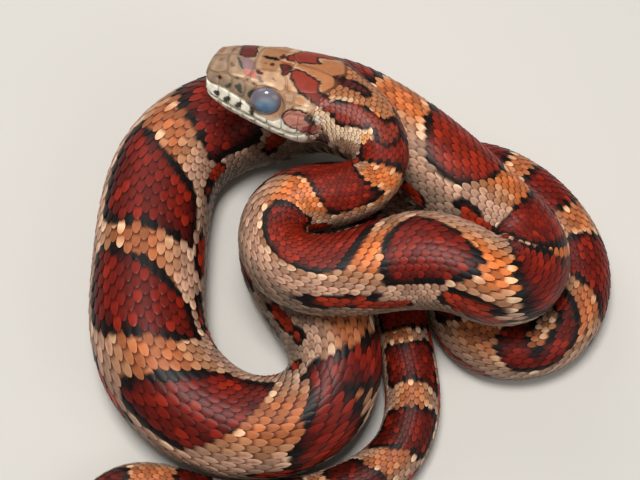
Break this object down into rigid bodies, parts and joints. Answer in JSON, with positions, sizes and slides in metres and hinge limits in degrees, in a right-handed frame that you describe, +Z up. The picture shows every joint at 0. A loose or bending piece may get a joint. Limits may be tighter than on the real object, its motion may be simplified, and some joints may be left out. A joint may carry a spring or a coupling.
{
  "type": "corn snake model",
  "caption": "Life-size still model of a young corn snake resting in a loose stack of coils, head on top, with blotched scales and clouded eyes.",
  "frame": {"origin": "middle of the bounding box's underside, on the floor below the coils", "axes": "+Z up from the floor; the head points roughly along -X; the model is viewed from the -Y side"},
  "size_m": [0.0956, 0.0965, 0.0392],
  "materials": {
    "scales": "glossy overlapping scales",
    "eye": "clouded, glossy"
  },
  "bodies": {
    "root": {"eye_left": "eye", "eye_right": "eye", "head": "scales", "neck": "scales", "neck_loop": "scales", "tail_base": "scales", "tail_middle": "scales", "tail_tip": "scales", "torso_01": "scales", "torso_02": "scales", "torso_03": "scales", "torso_04": "scales", "torso_05": "scales", "torso_06": "scales", "torso_07": "scales", "torso_08": "scales", "torso_09": "scales", "torso_10": "scales", "torso_11": "scales", "torso_12": "scales", "torso_13": "scales", "torso_14": "scales", "torso_15": "scales", "torso_16": "scales", "torso_17": "scales"}
  },
  "joints": []
}
